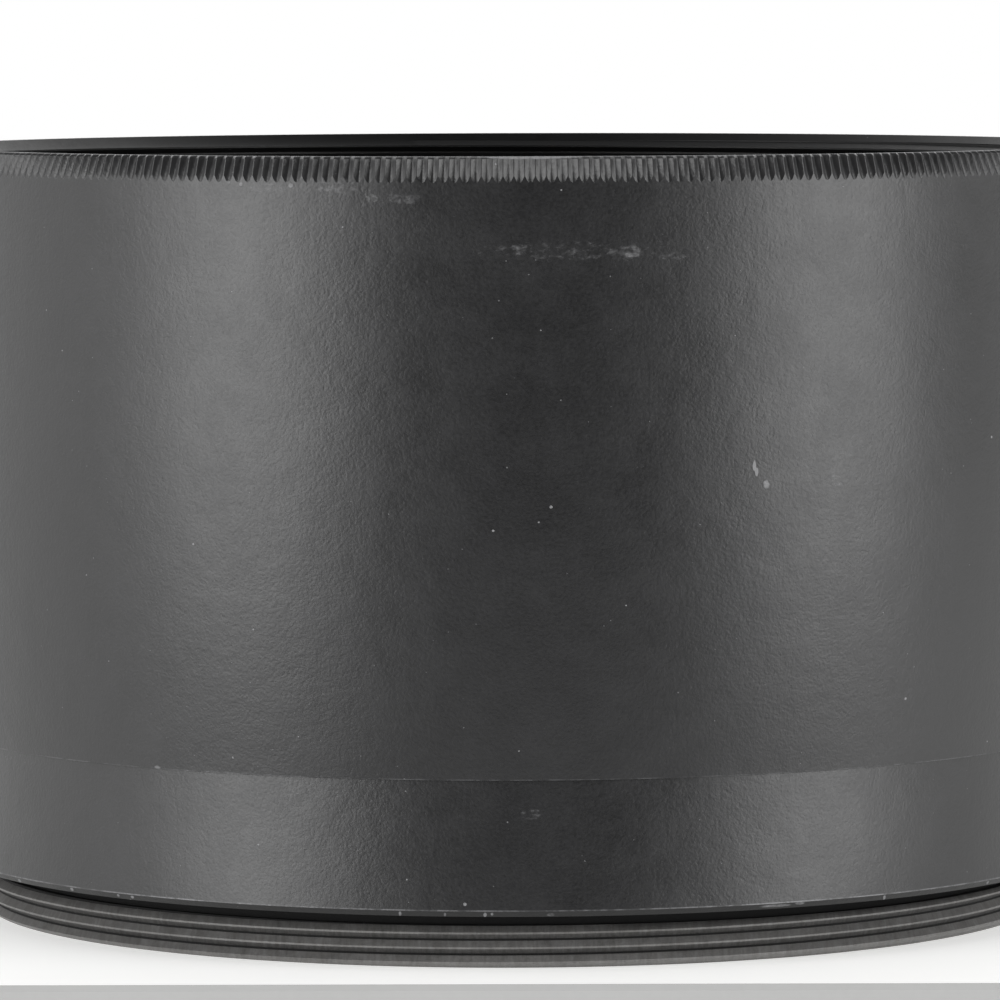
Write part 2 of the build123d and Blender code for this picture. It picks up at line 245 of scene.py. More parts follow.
# Rubbed marks, dust and two painted highlights: millimetres round from the front, height, half width, half
# height and cover
WALL_MARKS_AND_HIGHLIGHTS = (
    (2.9, 36.3, 7.4, 0.75, 0.38), (0.3, 36.45, 0.7, 0.4, 0.5), (3.2, 36.5, 1.2, 0.35, 0.42),
    (5.6, 36.25, 1.7, 0.6, 0.5), (5.9, 36.1, 0.6, 0.2, 0.75), (8.0, 36.0, 1.2, 0.35, 0.42),
    (-5.5, 38.9, 1.6, 0.4, 0.5), (-8.9, 39.5, 1.8, 0.6, 0.5), (-12.6, 39.4, 1.6, 0.4, 0.5),
    # the first mark here, across the front of the rim, is a painted highlight
    (0.87, 41, 3.4, 0.16, 1.5), (-14.8, 39.7, 0.15, 0.13, 0.8), (-14.1, 39.6, 0.15, 0.16, 0.95),
    (-11.35, 39.55, 0.2, 0.17, 0.95), (-7.1, 38.95, 0.5, 0.3, 0.6),
    (12.3, 25.45, 0.13, 0.35, 1.6), (12.42, 25.15, 0.13, 0.3, 1.6), (12.95, 24.5, 0.25, 0.3, 1.1),
    (1.81, 23.58, 0.11, 0.11, 1.4), (17.0, 24.6, 0.5, 0.6, 0.5), (-13.36, 41, 0.15, 0.1, 1.5),
    (10.46, 41, 0.15, 0.1, 1.5), (-23.54, 41, 0.15, 0.1, 1.5), (-0.53, 41, 0.15, 0.1, 1.5),
    # the last mark here, a thin line just over the break on the left, is a painted highlight
    (-19.5, 9.82, 0.3, 0.15, 0.75), (-16.6, 9.7, 3.6, 0.2, 0.45),
)
RING_MARKS = (
    (0.73, 8.0, 0.8, 0.5, 0.45), (-2.55, 3.5, 0.12, 0.12, 1.3), (-30.9, 2.95, 0.2, 0.15, 1.2),
    (-25.9, 3.0, 0.2, 0.15, 1.3), (-22.3, 3.0, 0.15, 0.12, 1.2), (-21.3, 3.0, 0.15, 0.12, 1.3),
    (-5.85, 2.95, 0.1, 0.2, 1.0), (-3.56, 2.95, 0.1, 0.16, 0.9), (-1.54, 2.95, 0.12, 0.2, 1.1),
    (-1.19, 3.0, 0.1, 0.12, 1.0), (1.77, 2.95, 0.3, 0.14, 0.8), (13.6, 3.0, 1.2, 0.12, 0.9),
    (15.0, 3.05, 0.4, 0.12, 1.1), (20.3, 2.95, 0.12, 0.2, 1.2), (28.4, 3.0, 0.15, 0.15, 1.2),
)

# How deep the bump of a surface is and the size of a dust speck, in millimetres, and how far the mottle
# moves the roughness, on anodised metal and on plain surfaces. Then the roughness of the outer metal, and
# how far the rim's worn line lies under the top, in millimetres
BUMP_DEPTH = 0.02
SPECK = 0.05
ROUGH_SPREAD = 0.14
PLAIN_SPREAD = 0.12
SATIN_ROUGH = 0.39
RIM_WEAR_DROP = 0.01

# The photograph's camera: distance from the axis and height in millimetres, tilt, turn and roll in radians,
# its focal length in frame widths, and the frame's width in millimetres
CAMERA_DISTANCE = 382.95
CAMERA_HEIGHT = 48.67
CAMERA_TILT = 0.07038
CAMERA_TURN = 0.00189
CAMERA_ROLL = 0.0027
CAMERA_FOCAL = 7.0665
SENSOR = 36.0


class LENS_PG_barrel(bpy.types.PropertyGroup):
    """Sizes of the barrel and its fluted rim."""

    wall_radius: bpy.props.FloatProperty(
        name="Wall radius", description="Outer radius of the smooth wall", default=32.25 * MM, unit="LENGTH"
    )
    flutes: bpy.props.IntProperty(
        name="Flutes", description="How many fine flutes run round the rim's bevel", default=AROUND, min=60
    )
    flute_depth: bpy.props.FloatProperty(
        name="Flute depth", description="Depth of one flute below the bevel", default=0.2 * MM, unit="LENGTH"
    )


class LENS_PG_finish(bpy.types.PropertyGroup):
    """Colours and wear of the surfaces."""

    anodised: bpy.props.FloatVectorProperty(
        name="Anodised black", description="Colour of the outer metal", subtype="COLOR",
        default=(0.007, 0.007, 0.0077), size=3, min=0, max=1,
    )
    # also the colour of the painted shade on the mount ring's seat and chamfer
    inside: bpy.props.FloatVectorProperty(
        name="Inner black", description="Colour of the matt metal behind the glass", subtype="COLOR",
        default=(0.003, 0.003, 0.0032), size=3, min=0, max=1,
    )
    bare: bpy.props.FloatVectorProperty(
        name="Worn metal", description="Colour of an edge where the black has gone", subtype="COLOR",
        default=(0.32, 0.32, 0.33), size=3, min=0, max=1,
    )
    # also the colour of the painted highlights among the barrel's wall marks
    dust: bpy.props.FloatVectorProperty(
        name="Dust", description="Colour of dust and rubbed marks", subtype="COLOR",
        default=(0.36, 0.36, 0.37), size=3, min=0, max=1,
    )


class LENS_PG_stage(bpy.types.PropertyGroup):
    """The floor and the lights."""

    floor: bpy.props.FloatVectorProperty(
        name="Floor", description="Colour of the pale floor", subtype="COLOR",
        default=(0.87, 0.87, 0.86), size=3, min=0, max=1,
    )
    side_lights: bpy.props.FloatProperty(
        name="Side lights", description="Power of the left soft box; the right one has a little less",
        default=2.35, min=0, unit="POWER",
    )


def scene_settings():
    """The sizes and colours that a user would change."""
    scene = bpy.context.scene
    return scene.lens_barrel, scene.lens_finish, scene.lens_stage


# Shader nodes


def fill(tree, made, inputs):
    """Link or set a node's inputs."""
    for socket, value in inputs.items():
        if isinstance(value, bpy.types.NodeSocket):
            tree.links.new(value, made.inputs[socket])
        else:
            made.inputs[socket].default_value = value


def node(tree, kind, inputs=None, **settings):
    """Add a node, set it, and fill its inputs."""
    made = tree.nodes.new(kind)
    for name, value in settings.items():
        setattr(made, name, value)
    fill(tree, made, inputs or {})
    return made


def calc(tree, operation, *values):
    """One Math node's result."""
    return node(tree, "ShaderNodeMath", dict(enumerate(values)), operation=operation).outputs[0]


def times(tree, first, second):
    """The product of two values."""
    return calc(tree, "MULTIPLY", first, second)


def plus(tree, first, second):
    """The sum of two values."""
    return calc(tree, "ADD", first, second)


def scaled(tree, vector, factor):
    """A vector times a number."""
    return node(tree, "ShaderNodeVectorMath", {0: vector, 3: factor}, operation="SCALE").outputs[0]


def noise(tree, place, scale, detail, roughness=0.5):
    """A noise texture's outputs."""
    inputs = {"Vector": place, "Scale": scale, "Detail": detail, "Roughness": roughness}
    return node(tree, "ShaderNodeTexNoise", inputs).outputs


def ramp(tree, value, low, high, smooth=True):
    """0 below low and 1 above high, or the other way round where low is the higher."""
    made = node(
        tree, "ShaderNodeMapRange",
        {"Value": value, "From Min": low, "From Max": high},
        interpolation_type="SMOOTHSTEP" if smooth else "LINEAR", clamp=True,
    )
    return made.outputs["Result"]


def blend_colour(tree, mask, first, second):
    """The first colour, going to the second where the mask is 1."""
    ends = [end if isinstance(end, bpy.types.NodeSocket) else (*end[:3], 1.0) for end in (first, second)]
    return node(tree, "ShaderNodeMix", dict(zip((0, 6, 7), (mask, *ends))), data_type="RGBA").outputs[2]


def new_group(name, inputs, outputs):
    """A shader node group with float inputs and outputs, what it's given, and its end node."""
    tree = bpy.data.node_groups.new(name, "ShaderNodeTree")
    for label, default in inputs.items():
        socket = tree.interface.new_socket(label, in_out="INPUT", socket_type="NodeSocketFloat")
        socket.default_value = default
    for label in outputs:
        tree.interface.new_socket(label, in_out="OUTPUT", socket_type="NodeSocketFloat")
    return tree, tree.nodes.new("NodeGroupInput").outputs, tree.nodes.new("NodeGroupOutput")


def effect(tree, name, **values):
    """Place a shared effect in a tree, with its own values, and give its outputs."""
    inputs = {label.replace("_", " ").capitalize(): value for label, value in values.items()}
    return node(tree, "ShaderNodeGroup", inputs, node_tree=bpy.data.node_groups[name]).outputs


def object_millimetres(tree):
    """Object coordinates in millimetres."""
    return scaled(tree, node(tree, "ShaderNodeTexCoord").outputs["Object"], 1 / MM)


def make_ring_place():
    """Where a point is on the ring: millimetres round from the front, and height."""
    tree, _, out = new_group("ring_place", {}, ("Around", "Height"))
    x, y, z = node(tree, "ShaderNodeSeparateXYZ", {0: object_millimetres(tree)}).outputs
    front = times(tree, y, -1.0)
    radius = calc(tree, "SQRT", plus(tree, times(tree, x, x), times(tree, y, y)))
    angle = calc(tree, "ARCTAN2", x, front)
    fill(tree, out, {"Around": times(tree, angle, radius), "Height": z})


def make_fine_grain():
    """The blasted grain under the anodising, and the slow mottle of its colour."""
    tree, given, out = new_group("fine_grain", {"Grain": 0.1, "Mottle": 4.0}, ("Height", "Tone"))
    place = object_millimetres(tree)
    fine = noise(tree, place, calc(tree, "DIVIDE", 1.0, given["Grain"]), 2.0, 0.6)["Fac"]
    slow = noise(tree, place, calc(tree, "DIVIDE", 1.0, given["Mottle"]), 4.0, 0.65)["Fac"]
    rise = plus(tree, fine, times(tree, slow, 3.0))
    tone = plus(tree, times(tree, fine, 0.5), times(tree, slow, 0.5))
    fill(tree, out, {"Height": rise, "Tone": tone})


def make_dust_specks():
    """Scattered specks: one in some of the cells, of uneven size."""
    tree, given, out = new_group("dust_specks", {"Cell": 0.8, "Size": 0.05, "Share": 0.3}, ("Mask",))
    place = object_millimetres(tree)
    shaken = scaled(tree, noise(tree, place, 9.0, 1.0)["Color"], 0.06)
    moved = node(tree, "ShaderNodeVectorMath", {0: place, 1: shaken}, operation="ADD").outputs[0]
    cell = given["Cell"]
    cells = node(tree, "ShaderNodeTexVoronoi", {"Vector": moved, "Scale": calc(tree, "DIVIDE", 1.0, cell)})
    chance = node(tree, "ShaderNodeSeparateColor", {0: cells.outputs["Color"]}).outputs
    away = times(tree, cells.outputs["Distance"], cell)
    uneven = plus(tree, times(tree, chance[1], 1.2), 0.3)
    size = times(tree, given["Size"], uneven)
    inside = ramp(tree, calc(tree, "DIVIDE", away, size), 1.1, 0.6)
    chosen = calc(tree, "LESS_THAN", chance[0], given["Share"])
    fill(tree, out, {"Mask": times(tree, inside, chosen)})


def make_mark_place():
    """A soft patch round one place on the wall, as strong as its cover."""
    inputs = {"Around": 0.0, "Height": 0.0, "Half width": 1.0, "Half height": 1.0, "Cover": 0.5}
    tree, given, out = new_group("mark_place", inputs, ("Patch",))
    here = effect(tree, "ring_place")
    off = []
    for name, half in (("Around", "Half width"), ("Height", "Half height")):
        away = calc(tree, "SUBTRACT", here[name], given[name])
        off.append(calc(tree, "DIVIDE", away, given[half]))
    far = plus(tree, times(tree, off[0], off[0]), times(tree, off[1], off[1]))
    fill(tree, out, {"Patch": times(tree, ramp(tree, far, 1.0, 0.1), given["Cover"])})


def make_rub_and_sheen_streaks():
    """Short broken streaks inside a patch: rubbed marks, and on the barrel also painted highlights."""
    tree, given, out = new_group("rub_and_sheen_streaks", {"Patch": 0.0, "Length": 0.45, "Width": 0.26}, ("Mask",))
    here = effect(tree, "ring_place")
    spread = node(tree, "ShaderNodeCombineXYZ", {
        0: calc(tree, "DIVIDE", here["Around"], given["Length"]),
        1: calc(tree, "DIVIDE", here["Height"], given["Width"]),
    })
    broken = noise(tree, spread.outputs[0], 1.0, 3.0, 0.7)["Fac"]
    patch = given["Patch"]
    edge = calc(tree, "SUBTRACT", 0.8, times(tree, patch, 0.6))
    streaks = ramp(tree, calc(tree, "SUBTRACT", broken, edge), -0.1, 0.5)
    fill(tree, out, {"Mask": times(tree, streaks, ramp(tree, patch, 0.0, 0.3))})


def make_worn_edge():
    """A thin worn line at one height, broken here and there."""
    inputs = {"Height": 0.0, "Half width": 0.05, "Gaps": 0.3, "Strength": 1.0}
    tree, given, out = new_group("worn_edge", inputs, ("Mask",))
    here = effect(tree, "ring_place")
    away = calc(tree, "ABSOLUTE", calc(tree, "SUBTRACT", here["Height"], given["Height"]))
    line = ramp(tree, calc(tree, "DIVIDE", away, given["Half width"]), 1.2, 0.6)
    breaks = noise(tree, object_millimetres(tree), 0.8, 4.0, 0.7)["Fac"]
    gap = times(tree, given["Gaps"], ramp(tree, breaks, 0.6, 0.42))
    broken = times(tree, line, calc(tree, "SUBTRACT", 1.0, gap))
    fill(tree, out, {"Mask": times(tree, broken, given["Strength"])})


def make_groups():
    """Build every shared effect once."""
    make_ring_place()
    make_fine_grain()
    make_dust_specks()
    make_mark_place()
    make_rub_and_sheen_streaks()
    make_worn_edge()


def new_material(name):
    """An empty node material with its output and one Principled shader."""
    made = bpy.data.materials.new(name)
    made.use_nodes = True
    tree = made.node_tree
    tree.nodes.clear()
    shader = tree.nodes.new("ShaderNodeBsdfPrincipled")
    out = tree.nodes.new("ShaderNodeOutputMaterial")
    tree.links.new(shader.outputs[0], out.inputs["Surface"])
    return made, tree, shader


def add_masks(tree, masks):
    """The strongest of several masks."""
    total = masks[0]
    for mask in masks[1:]:
        total = calc(tree, "MAXIMUM", total, mask)
    return total


def add_relief(tree, shader, height, strength):
    """A shallow bump from a height that changes over the surface."""
    inputs = {"Height": height, "Strength": strength, "Distance": BUMP_DEPTH * MM}
    tree.links.new(node(tree, "ShaderNodeBump", inputs).outputs[0], shader.inputs["Normal"])


def mottled(tree, colour, grain, mottle, dark, bright):
    """A colour that varies with the mottle between two shares of itself, the tone, and the grain's height."""
    made = effect(tree, "fine_grain", grain=grain, mottle=mottle)
    tone = ramp(tree, made["Tone"], 0.3, 0.7, smooth=False)
    base = blend_colour(tree, tone, [c * dark for c in colour], [c * bright for c in colour])
    return base, tone, made["Height"]


def anodised_material(name, colour, rough, bump=0.7, gloss=0.75, edges=(), marks=(), dust=0.3):
    """Satin anodised metal: grain, mottle, dust, worn edges, and marks in the dust colour; on the barrel two
    of these are painted highlights.
    """
    finish = scene_settings()[1]
    made, tree, shader = new_material(name)
    base, tone, height = mottled(tree, colour, grain=0.16, mottle=2.6, dark=0.6, bright=1.5)
    specks = effect(tree, "dust_specks", cell=1.1, size=SPECK, share=dust)["Mask"]
    fine = effect(tree, "dust_specks", cell=0.37, size=SPECK * 0.5, share=dust * 0.5)["Mask"]
    dusty = times(tree, add_masks(tree, [specks, times(tree, fine, 0.5)]), 0.6)
    if marks:
        labels = ("around", "height", "half_width", "half_height", "cover")
        patches = [effect(tree, "mark_place", **dict(zip(labels, mark)))["Patch"] for mark in marks]
        rubbed = effect(tree, "rub_and_sheen_streaks", patch=add_masks(tree, patches))["Mask"]
        # the marks go into the dust colour; on the barrel two of them are painted highlights
        dusty = add_masks(tree, [dusty, times(tree, rubbed, 0.5)])
    base = blend_colour(tree, dusty, base, tuple(finish.dust))
    if edges:
        worn = add_masks(tree, [effect(tree, "worn_edge", **edge)["Mask"] for edge in edges])
        base = blend_colour(tree, worn, base, tuple(finish.bare))
        fill(tree, shader, {"Metallic": times(tree, worn, 0.8)})
    steady = plus(tree, times(tree, tone, ROUGH_SPREAD), rough - ROUGH_SPREAD / 2)
    roughness = plus(tree, steady, times(tree, dusty, 0.3))
    fill(tree, shader, {"Base Color": base, "Roughness": roughness, "Specular IOR Level": gloss})
    add_relief(tree, shader, plus(tree, height, times(tree, dusty, 1.5)), bump)
    return made


def thread_material(name, colour, rough):
    """Rubbed and dusty thread metal with upright streaks."""
    made, tree, shader = new_material(name)
    streaks = effect(tree, "rub_and_sheen_streaks", patch=0.75, length=0.23, width=0.8)["Mask"]
    base, tone, height = mottled(tree, colour, grain=0.12, mottle=1.4, dark=0.6, bright=1.3)
    base = blend_colour(tree, times(tree, streaks, 0.22), base, tuple(scene_settings()[1].dust))
    fill(tree, shader, {"Base Color": base, "Roughness": plus(tree, times(tree, tone, 0.15), rough)})
    add_relief(tree, shader, height, 0.4)
    return made


def plain_material(name, colour, rough, grain=0.2, bump=0.3, metal=0.0, gloss=0.5):
    """Any other surface: its own colour with grain, mottle and a little dust."""
    made, tree, shader = new_material(name)
    base, tone, height = mottled(tree, colour, grain, mottle=2.0, dark=0.75, bright=1.25)
    dusty = times(tree, effect(tree, "dust_specks", cell=1.3, size=0.06, share=0.25)["Mask"], 0.4)
    base = blend_colour(tree, dusty, base, tuple(scene_settings()[1].dust))
    roughness = plus(tree, times(tree, tone, PLAIN_SPREAD), rough - PLAIN_SPREAD / 2)
    fill(tree, shader, {
        "Base Color": base, "Roughness": roughness, "Specular IOR Level": gloss, "Metallic": metal,
    })
    add_relief(tree, shader, height, bump)
    return made


def glass_material(name, film, index):
    """Coated optical glass: clear, with a coloured reflection, faint smears and a little dust."""
    made, tree, shader = new_material(name)
    smear = effect(tree, "fine_grain", grain=0.5, mottle=7.0)
    patches = ramp(tree, smear["Tone"], 0.52, 0.75)
    dusty = effect(tree, "dust_specks", cell=1.6, size=0.05, share=0.2)["Mask"]
    cloudy = plus(tree, times(tree, patches, 0.03), times(tree, dusty, 0.35))
    fill(tree, shader, {
        "Base Color": (0.97, 0.985, 0.975, 1), "Transmission Weight": 1.0, "IOR": index, "Roughness": cloudy,
        "Thin Film Thickness": film, "Thin Film IOR": FILM_INDEX,
    })
    return made


def library(name):
    """A shared material by its name, made when it's first asked for."""
    if name in bpy.data.materials:
        return bpy.data.materials[name]
    finish = scene_settings()[1]
    outer, inner = finish.anodised, finish.inside
    kinds = {
        "ring_anodised": (anodised_material, outer, 0.34, dict(gloss=0.6, dust=0.2)),
        "mouth_anodised": (anodised_material, inner, 0.45, dict(bump=0.15, gloss=0.3, dust=0.05)),
        # the seat and chamfer under the band take the darker inner black as painted shade; their dust and
        # marks are real
        "chamfer_anodised": (anodised_material, inner, 0.45, dict(gloss=0.42, dust=0.6, marks=RING_MARKS)),
        "inner_anodised": (anodised_material, inner, 0.55, dict(bump=0.25, gloss=0.3, dust=0.2)),
        "worn_thread": (thread_material, (0.112, 0.108, 0.102), 0.42, {}),
        "shaded_thread": (thread_material, (0.045, 0.043, 0.04), 0.65, {}),
        "dusty_thread": (thread_material, (0.094, 0.091, 0.086), 0.6, {}),
        "undercut_shadow": (plain_material, [0.009] * 3, 0.8, dict(gloss=0.2)),
        "matt_paint": (plain_material, [0.0045] * 3, 0.85, dict(grain=0.09, bump=0.25, gloss=0.2)),
        "edge_paint": (plain_material, [0.004] * 3, 0.7, dict(grain=0.12, gloss=0.3)),
        "front_glass": (glass_material, 290, 1.52, {}),
        "rear_glass": (glass_material, 150, 1.62, {}),
        "nylon": (plain_material, [0.02] * 3, 0.5, dict(grain=0.3, bump=0.15)),
        "soft_rubber": (plain_material, [0.014] * 3, 0.75, dict(grain=0.15, bump=0.4)),
        "rolled_brass": (plain_material, (0.6, 0.42, 0.17), 0.35, dict(grain=0.25, metal=1.0, bump=0.2)),
        "blackened": (plain_material, (0.035, 0.035, 0.038), 0.42, dict(grain=0.12, metal=0.9, bump=0.25)),
    }
    make, first, second, more = kinds[name]
    return make(name, first, second, **more)


# Turned pieces


def polar(point):
    """A point's distance from the axis and its height, in millimetres."""
    return math.hypot(point.x, point.y) / MM, point.z / MM


def whole(bm):
    """Everything in a mesh."""
    return bm.verts[:] + bm.edges[:] + bm.faces[:]


def points(items):
    """The vertices among some geometry."""
    return [item for item in items if isinstance(item, bmesh.types.BMVert)]


def lines(items):
    """The edges among some geometry."""
    return [item for item in items if isinstance(item, bmesh.types.BMEdge)]


def to_mesh(bm, name):
    """A mesh from a bmesh, which is freed."""
    mesh = bpy.data.meshes.new(name)
    bm.to_mesh(mesh)
    bm.free()
    return mesh


def add_object(name, data):
    """A new object in the scene."""
    made = bpy.data.objects.new(name, data)
    bpy.context.scene.collection.objects.link(made)
    return made


def draw_chain(bm, outline, closed=False):
    """A chain of edges in the XZ plane through (radius, height) points in millimetres."""
    verts = [bm.verts.new((r * MM, 0, z * MM)) for r, z in outline]
    edges = [bm.edges.new(pair) for pair in zip(verts, verts[1:])]
    if closed:
        edges.append(bm.edges.new((verts[-1], verts[0])))
    return verts + edges


def eased(outline, radius=CORNER_R):
    """A closed outline with each corner rounded."""
    made = []
    for i, (r, z) in enumerate(outline):
        before, after = outline[i - 1], outline[(i + 1) % len(outline)]
        arms = [(p[0] - r, p[1] - z) for p in (before, after)]
        lengths = [math.hypot(*arm) for arm in arms]
        cosine = sum(a * b for a, b in zip(*arms)) / (lengths[0] * lengths[1])
        cut = min(radius, CORNER_SHARE * min(lengths))
        if cosine < STRAIGHT:
            made.append((r, z))
            continue
        start, end = ((r + a[0] / n * cut, z + a[1] / n * cut) for a, n in zip(arms, lengths))
        for step in range(CORNER_STEPS + 1):
            t = step / CORNER_STEPS
            weights = ((1 - t) ** 2, 2 * t * (1 - t), t * t)
            made.append(tuple(sum(w * p[k] for w, p in zip(weights, (start, (r, z), end))) for k in (0, 1)))
    return made


def spin_ring(bm, geometry, steps=AROUND):
    """Turn a chain once round the lens's axis."""
    bmesh.ops.spin(bm, geom=geometry, **AXIS, angle=2 * math.pi, steps=steps, use_merge=True)
    bmesh.ops.remove_doubles(bm, verts=bm.verts[:], dist=MERGE)


def repeat_round(bm, share, count):
    """Repeat everything round the axis at equal angles, and merge the seams."""
    if count > 1:
        bmesh.ops.spin(
            bm, geom=whole(bm), **AXIS, angle=share * (count - 1), steps=count - 1, use_duplicate=True
        )
        bmesh.ops.remove_doubles(bm, verts=bm.verts[:], dist=MERGE)


def turned(outline):
    """A closed ring from a closed outline."""
    bm = bmesh.new()
    spin_ring(bm, draw_chain(bm, outline, closed=True))
    return bm


def open_loop(bm, height, inner, outer):
    """The open edges at one height between two radii, all in millimetres."""
    found = []
    for edge in bm.edges:
        if edge.is_boundary:
            ends = [polar(vert.co) for vert in edge.verts]
            if all(inner < radius < outer and abs(z - height) < LEVEL for radius, z in ends):
                found.append(edge)
    return found


def circle_at(height, radius):
    """Where the open loop of a plain circle is looked for."""
    return height, radius - CIRCLE_NEAR, radius + CIRCLE_NEAR


def bridge(bm, first, second):
    """Close the band between two open loops, each given as (height, inner, outer)."""
    one, other = open_loop(bm, *first), open_loop(bm, *second)
    if not one or not other:
        raise RuntimeError(f"no open loops at {first} and {second}")
    lifted = list({vert for edge in one for vert in edge.verts})
    # two loops in one plane round one centre can be joined across the hole, so one is lifted meanwhile
    bmesh.ops.translate(bm, verts=lifted, vec=(0, 0, BRIDGE_LIFT * MM))
    made = bmesh.ops.bridge_loops(bm, edges=one + other)["faces"]
    bmesh.ops.translate(bm, verts=lifted, vec=(0, 0, -BRIDGE_LIFT * MM))
    closest = min(first[1], second[1]) - BAND_REACH
    if any(polar(face.calc_center_median())[0] < closest for face in made):
        raise RuntimeError(f"the band between {first} and {second} crosses the hole")


def add_thread(bm, crest, depth, way, start, span, phase=0.0):
    """A right-hand thread between two heights: outwards in a bore (1) or inwards on a spigot (-1)."""
    low, high = span
    flank = (PITCH - CREST_FLAT - ROOT_FLAT) / 2
    root = crest + way * depth
    outline = [
        (crest, 0.0), (crest, CREST_FLAT), (root, CREST_FLAT + flank),
        (root, CREST_FLAT + flank + ROOT_FLAT), (crest, PITCH),
    ]
    # the outline starts half a groove and a crest above a root, so that a root lies at the start height
    first = start - PITCH * 2 + flank + ROOT_FLAT / 2 + PITCH * phase / (-2 * math.pi)
    turns = math.ceil((high - first) / PITCH) + 1
    ribbon = bmesh.new()
    chain = draw_chain(ribbon, [(r, z + first) for r, z in outline])
    bmesh.ops.spin(
        ribbon, geom=chain, **AXIS, angle=2 * math.pi, steps=AROUND, dvec=(0, 0, PITCH * MM / AROUND)
    )
    bmesh.ops.spin(
        ribbon, geom=whole(ribbon), **AXIS, angle=0, steps=turns - 1, dvec=(0, 0, PITCH * MM),
        use_duplicate=True,
    )
    bmesh.ops.remove_doubles(ribbon, verts=ribbon.verts[:], dist=MERGE)
    for height, side in ((low, -1), (high, 1)):
        bmesh.ops.bisect_plane(
            ribbon, geom=whole(ribbon), dist=CUT_NEAR, plane_co=(0, 0, height * MM),
            plane_no=(0, 0, side), clear_outer=True,
        )
    mesh = to_mesh(ribbon, "thread")
    bm.from_mesh(mesh)
    bpy.data.meshes.remove(mesh)


def finish_piece(bm, name, body, materials, nodes, choose=None, sharp=SHARP):
    """Check that the mesh is closed, mark its sharp edges, and put the piece on its body."""
    bmesh.ops.recalc_face_normals(bm, faces=bm.faces[:])
    for face in bm.faces:
        face.smooth = True
        if choose:
            face.material_index = choose(face)
    for edge in bm.edges:
        if len(edge.link_faces) == 2 and edge.calc_face_angle(0) > math.radians(sharp):
            edge.smooth = False
    open_edges = sum(edge.is_boundary for edge in bm.edges)
    if open_edges:
        raise RuntimeError(f"{name} has {open_edges} open edges")
    piece = add_object(name, to_mesh(bm, name))
    for material in materials:
        piece.data.materials.append(material)
    weighted = piece.modifiers.new("even_normals", "WEIGHTED_NORMAL")
    weighted.keep_sharp = True
    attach(piece, body)
    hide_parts(*nodes)


# Barrel


def barrel_outline(wall):
    """The barrel's section outside its two threads: down the outside, then up the inside."""
    top = CAD_BOX[1].z / MM
    rim = wall - RIM_INSET
    rows = 2 * FLUTE_ROWS
    flute_rows = [(wall, top - RIM_EDGE - (FLUTE_FOOT - RIM_EDGE) * i / rows) for i in range(1, rows)]
    taper = []
    for i in range(TAPER_ROWS + 1):
        t = i / TAPER_ROWS
        taper.append((wall + (BREAK_R - wall) * t * t, TAPER_TOP + (BREAK_Z + SEAM_EDGE - TAPER_TOP) * t))
    outside = [
        (MOUTH_R, top), (rim - RIM_EDGE, top), (rim, top - RIM_EDGE), *flute_rows, (wall, top - FLUTE_FOOT),
        *taper, (BREAK_R - SEAM_EDGE, BREAK_Z), (SPIGOT_CORE, BREAK_Z), (SPIGOT_CORE, SPIGOT_Z[1]),
    ]
    inside = [
        (SEAL_GROOVE[0], SPIGOT_Z[0]), SEAL_GROOVE, (SPIGOT_R - MALE_DEPTH, SEAL_GROOVE[1]),
        (SPIGOT_R - MALE_DEPTH, SPIGOT_BORE[1]), SPIGOT_BORE, (SPIGOT_BORE[0], BULKHEAD[1]), BULKHEAD,
        (BULKHEAD[0], MIDDLE_BORE[1]), MIDDLE_BORE, (MIDDLE_BORE[0], CELL_BORE[1]), CELL_BORE,
        (CELL_BORE[0], RELIEF[1]), RELIEF, (RELIEF[0], FILTER_Z[0]),
    ]
    return outside, inside


def flute_sector(wall, depth, flutes):
    """One flute's share of the barrel, cut as a V that runs down the bevel and out on the wall."""
    top = CAD_BOX[1].z / MM
    rim = wall - RIM_INSET
    share = 2 * math.pi / flutes
    columns = len(FLUTE_COLUMNS) - 1
    bm = bmesh.new()
    for outline in barrel_outline(wall):
        chain = draw_chain(bm, outline)
        bmesh.ops.spin(bm, geom=chain, **AXIS, angle=share, steps=columns)
    foot, head = top - FLUTE_FOOT, top - RIM_EDGE
    column_of, fluted = {}, set()
    for vert in bm.verts:
        column = round(math.atan2(vert.co.y, vert.co.x) / share * columns)
        column_of[vert] = column
        place = FLUTE_COLUMNS[column]
        radius, height = polar(vert.co)
        outside = radius > MOUTH_R + THREAD_CLEAR
        if height > foot - ROW_NEAR and outside:
            fluted.add(vert)
        across = math.hypot(2 * place - 1, FLUTE_FLOOR) - FLUTE_FLOOR
        cut = depth * max(0.0, 1 - across / (FLUTE_WIDTH - FLUTE_FLOOR)) - FLUTE_LAND
        if foot + ROW_NEAR < height < head + ROW_NEAR and outside:
            run_out = top - CREST_RUN - (VALLEY_RUN - CREST_RUN) * (max(0.0, cut) / depth) ** TIP_ROUND
            # from 0 at the head, past 1 where the flute runs out, to 2 at the foot
            down = (head - height) / (head - foot) * 2
            if down <= 1:
                height = head + (run_out - head) * down
                radius = rim - cut + (wall - rim + cut) * (top - height) / (top - run_out)
            else:
                height = run_out + (foot - run_out) * (down - 1)
                radius = wall
        elif height > head and outside:
            radius -= max(0.0, cut)
        vert.co = (radius * math.cos(place * share) * MM, radius * math.sin(place * share) * MM, height * MM)
    # below the fluted rows a flute's share needs only the columns at its two sides
    spare = []
    for edge in bm.edges:
        first, second = (column_of[vert] for vert in edge.verts)
        if first == second and first not in (0, columns) and not fluted.issuperset(edge.verts):
            spare.append(edge)
    bmesh.ops.dissolve_edges(bm, edges=spare, use_verts=True)
    return bm


